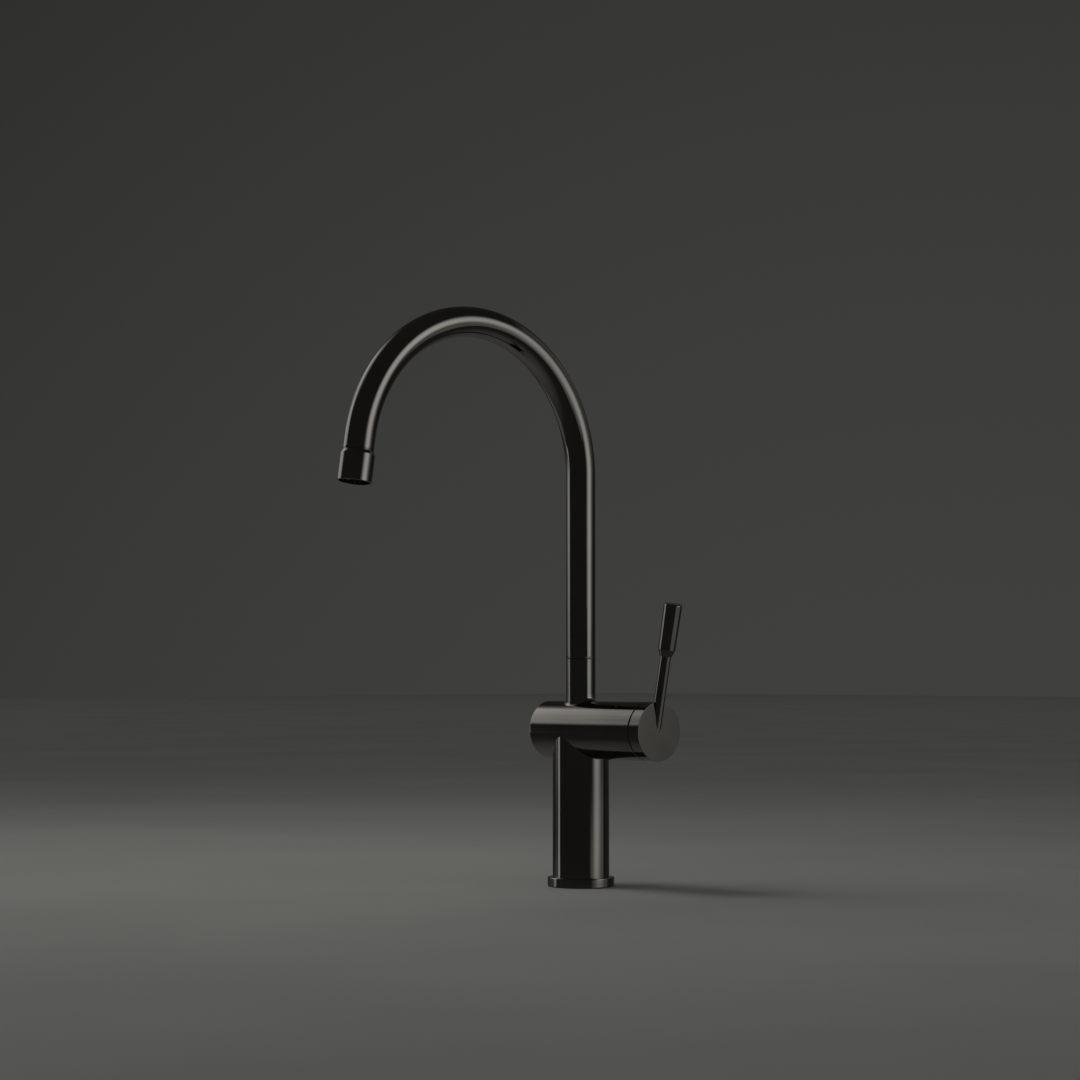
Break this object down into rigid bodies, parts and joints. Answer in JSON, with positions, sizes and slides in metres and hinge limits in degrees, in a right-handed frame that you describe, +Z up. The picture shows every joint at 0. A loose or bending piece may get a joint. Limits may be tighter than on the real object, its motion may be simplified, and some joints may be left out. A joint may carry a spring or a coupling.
{
  "type": "kitchen mixer tap",
  "caption": "Gooseneck kitchen mixer tap: round column with base flange, horizontal valve barrel with a tilting side lever, and a swivelling arched spout with an aerator nozzle.",
  "frame": {"origin": "mouth of the fixing stud's thread in the underside of the foot, on the column's axis, in the plane of the deck", "axes": "+Z up the column, +X along the valve barrel towards the lever, spout reaching forwards along -Y at rest"},
  "size_m": [0.1355, 0.2532, 0.4215],
  "materials": {
    "dark_chrome": "polished dark grey, mirror-like",
    "brass": "machined",
    "copper": "drawn tube",
    "steel": "bright",
    "black_rubber": "matt",
    "white_plastic": "moulded",
    "grey_plastic": "moulded",
    "dark_plastic": "moulded",
    "ceramic": "lapped ceramic"
  },
  "bodies": {
    "tap_body": {"deck_gasket": "black_rubber", "base_flange": "dark_chrome", "foot_insert": "brass", "column_shell": "dark_chrome", "supply_tube_seals": "black_rubber", "hot_supply_tube": "copper", "cold_supply_tube": "copper", "valve_barrel": "dark_chrome", "barrel_end_plug": "dark_chrome", "valve_core": "brass", "swivel_socket": "brass", "swivel_washer": "dark_plastic", "spout_grub_screw": "steel", "port_seals": "black_rubber", "cartridge_base": "white_plastic", "fixed_ceramic_disc": "ceramic", "cartridge_housing": "white_plastic", "retaining_nut": "brass", "cover_ring": "dark_plastic"},
    "spout": {"spout_tube": "dark_chrome", "swivel_stem": "brass", "slide_rings": "white_plastic", "stem_o_rings": "black_rubber", "nozzle_adapter": "brass", "nozzle_housing": "dark_chrome", "aerator_washer": "black_rubber", "aerator_insert": "grey_plastic", "aerator_screen": "steel"},
    "stem_turn": {"stem_carrier": "white_plastic", "stem_pin": "steel"},
    "lever": {"cartridge_stem": "steel", "lever_cap": "dark_chrome", "lever_grub_screw": "steel", "lever_rod": "dark_chrome", "lever_grip": "dark_chrome"},
    "mixing_disc": {"moving_ceramic_disc": "ceramic", "disc_carrier": "white_plastic"}
  },
  "joints": [
    {"name": "spout_swivel", "type": "hinge", "parent": "tap_body", "child": "spout", "pos_m": [0, 0, 0.168], "axis": [0, 0, 1], "continuous": true},
    {"name": "temperature_turn", "type": "hinge", "parent": "tap_body", "child": "stem_turn", "pos_m": [0.06, 0, 0.1155], "axis": [1, 0, 0], "range_deg": [-45, 45]},
    {"name": "flow_tilt", "type": "hinge", "parent": "stem_turn", "child": "lever", "pos_m": [0.06, 0, 0.1155], "axis": [0, 1, 0], "range_deg": [0, 18]},
    {"name": "disc_slide", "type": "slide", "parent": "stem_turn", "child": "mixing_disc", "axis": [0, 0, 1], "range_m": [0, 0.0025]}
  ],
  "couplings": [
    {"joint": "disc_slide", "follows": "flow_tilt", "m_per_rad": 0.0078691}
  ]
}
